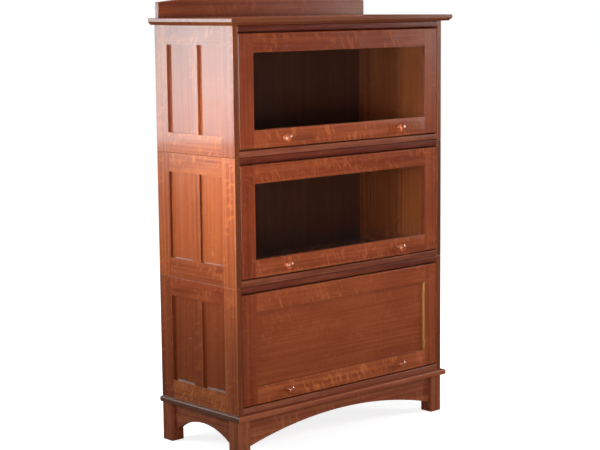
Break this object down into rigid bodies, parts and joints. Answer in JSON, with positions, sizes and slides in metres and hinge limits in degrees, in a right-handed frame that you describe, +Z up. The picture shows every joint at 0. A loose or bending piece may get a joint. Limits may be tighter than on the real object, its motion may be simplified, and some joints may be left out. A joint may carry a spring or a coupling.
{
  "type": "barrister bookcase",
  "caption": "Stacked wooden bookcase: frame-and-panel cases with lift-up, slide-back doors, glazed above and panelled below, on an arched legged base under a top with a gallery.",
  "frame": {"origin": "middle of the bounding box's bottom face, on the floor", "axes": "+X to the right seen from the front, +Y from the front to the back, +Z up"},
  "size_m": [0.9116, 0.3866, 1.3545],
  "materials": {
    "top_oak": "reddish-brown stain on oak, satin lacquer",
    "side_oak": "reddish-brown stain on quartersawn oak, satin lacquer",
    "shelf_oak": "reddish-brown stain on oak, satin lacquer",
    "door_oak": "reddish-brown stain on quartersawn oak, satin lacquer",
    "knob_oak": "turned, stained and lacquered, slightly glossier",
    "stop_oak": "stained oak bead, satin lacquer",
    "base_oak": "reddish-brown stain on oak, satin lacquer",
    "back_plywood": "stained veneered plywood",
    "clear_glass": "clear 3 mm sheet",
    "pin_steel": "bright steel rod"
  },
  "bodies": {
    "case": {"apron_front": "base_oak", "apron_left": "base_oak", "apron_right": "base_oak", "back_rail": "base_oak", "case_back_1": "back_plywood", "case_back_2": "back_plywood", "case_back_3": "back_plywood", "case_bottom_1": "shelf_oak", "case_bottom_2": "shelf_oak", "case_bottom_3": "shelf_oak", "case_side_left_1": "side_oak", "case_side_left_2": "side_oak", "case_side_left_3": "side_oak", "case_side_right_1": "side_oak", "case_side_right_2": "side_oak", "case_side_right_3": "side_oak", "case_top_1": "shelf_oak", "case_top_2": "shelf_oak", "case_top_3": "shelf_oak", "gallery": "top_oak", "leg_front_left": "base_oak", "leg_front_right": "base_oak", "leg_rear_left": "base_oak", "leg_rear_right": "base_oak", "moulding_front": "base_oak", "moulding_left": "base_oak", "moulding_right": "base_oak", "side_panel_left_front_1": "side_oak", "side_panel_left_front_2": "side_oak", "side_panel_left_front_3": "side_oak", "side_panel_left_rear_1": "side_oak", "side_panel_left_rear_2": "side_oak", "side_panel_left_rear_3": "side_oak", "side_panel_right_front_1": "side_oak", "side_panel_right_front_2": "side_oak", "side_panel_right_front_3": "side_oak", "side_panel_right_rear_1": "side_oak", "side_panel_right_rear_2": "side_oak", "side_panel_right_rear_3": "side_oak", "top_board": "top_oak"},
    "carriage_1": {"guide_pin_left_1": "pin_steel", "guide_pin_right_1": "pin_steel"},
    "door_1": {"door_frame_1": "door_oak", "door_glass_1": "clear_glass", "glass_stop_1": "stop_oak", "knob_left_1": "knob_oak", "knob_right_1": "knob_oak"},
    "carriage_2": {"guide_pin_left_2": "pin_steel", "guide_pin_right_2": "pin_steel"},
    "door_2": {"door_frame_2": "door_oak", "door_glass_2": "clear_glass", "glass_stop_2": "stop_oak", "knob_left_2": "knob_oak", "knob_right_2": "knob_oak"},
    "carriage_3": {"guide_pin_left_3": "pin_steel", "guide_pin_right_3": "pin_steel"},
    "door_3": {"door_frame_3": "door_oak", "door_panel_3": "door_oak", "knob_left_3": "knob_oak", "knob_right_3": "knob_oak"}
  },
  "joints": [
    {"name": "door_slide_1", "type": "slide", "parent": "case", "child": "carriage_1", "axis": [0, 1, 0], "range_m": [0, 0.24]},
    {"name": "door_lift_1", "type": "hinge", "parent": "carriage_1", "child": "door_1", "pos_m": [0, -0.1576, 1.2305], "axis": [-1, 0, 0], "range_deg": [0, 90]},
    {"name": "door_slide_2", "type": "slide", "parent": "case", "child": "carriage_2", "axis": [0, 1, 0], "range_m": [0, 0.24]},
    {"name": "door_lift_2", "type": "hinge", "parent": "carriage_2", "child": "door_2", "pos_m": [0, -0.1576, 0.8545], "axis": [-1, 0, 0], "range_deg": [0, 90]},
    {"name": "door_slide_3", "type": "slide", "parent": "case", "child": "carriage_3", "axis": [0, 1, 0], "range_m": [0, 0.24]},
    {"name": "door_lift_3", "type": "hinge", "parent": "carriage_3", "child": "door_3", "pos_m": [0, -0.1576, 0.4785], "axis": [-1, 0, 0], "range_deg": [0, 90]}
  ]
}
